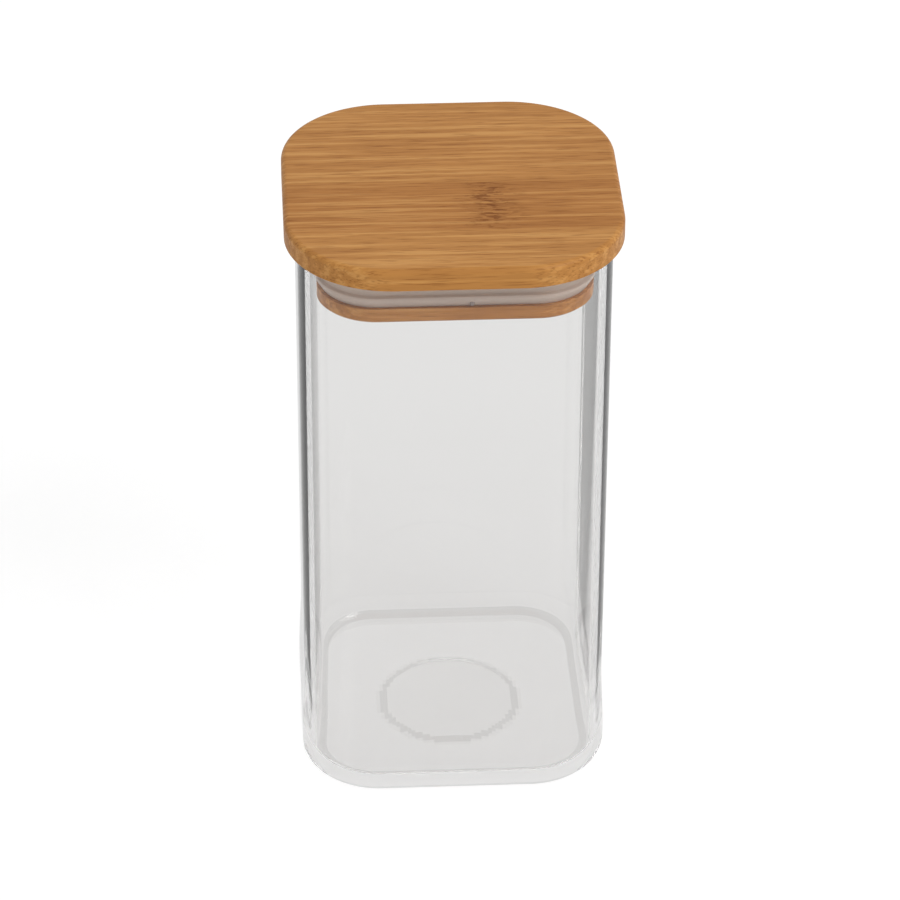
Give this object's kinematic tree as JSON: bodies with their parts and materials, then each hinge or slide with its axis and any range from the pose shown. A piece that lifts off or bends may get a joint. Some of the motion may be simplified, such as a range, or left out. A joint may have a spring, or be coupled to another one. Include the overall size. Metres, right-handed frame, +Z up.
{
  "type": "storage jar",
  "caption": "Tall square clear-glass jar with a dished base, closed by a bamboo lid that plugs into its mouth on a translucent silicone lip seal.",
  "frame": {"origin": "centre of the jar's base, on the surface it stands on", "axes": "+Z up through the lid, front towards -Y, bamboo grain along X"},
  "size_m": [0.0756, 0.0756, 0.145],
  "materials": {
    "clear_glass": "polished, clear",
    "silicone": "translucent, satin",
    "bamboo_light": "sanded and oiled, satin",
    "bamboo_dark": "sanded and oiled, satin"
  },
  "bodies": {
    "jar": {"glass_jar": "clear_glass"},
    "lid": {"seal_ring": "silicone", "cap_strip_front": "bamboo_light", "cap_strip_knuckle": "bamboo_dark", "cap_strip_middle": "bamboo_light", "cap_strip_back": "bamboo_light", "neck_strip_front": "bamboo_light", "neck_strip_middle": "bamboo_light", "neck_strip_back": "bamboo_light", "rim_strip_front": "bamboo_dark", "rim_strip_front_middle": "bamboo_light", "rim_strip_back_middle": "bamboo_dark", "rim_strip_back": "bamboo_light"}
  },
  "joints": [
    {"name": "lid_lift", "type": "slide", "parent": "jar", "child": "lid", "axis": [0, 0, 1], "range_m": [0, 0.03]}
  ]
}
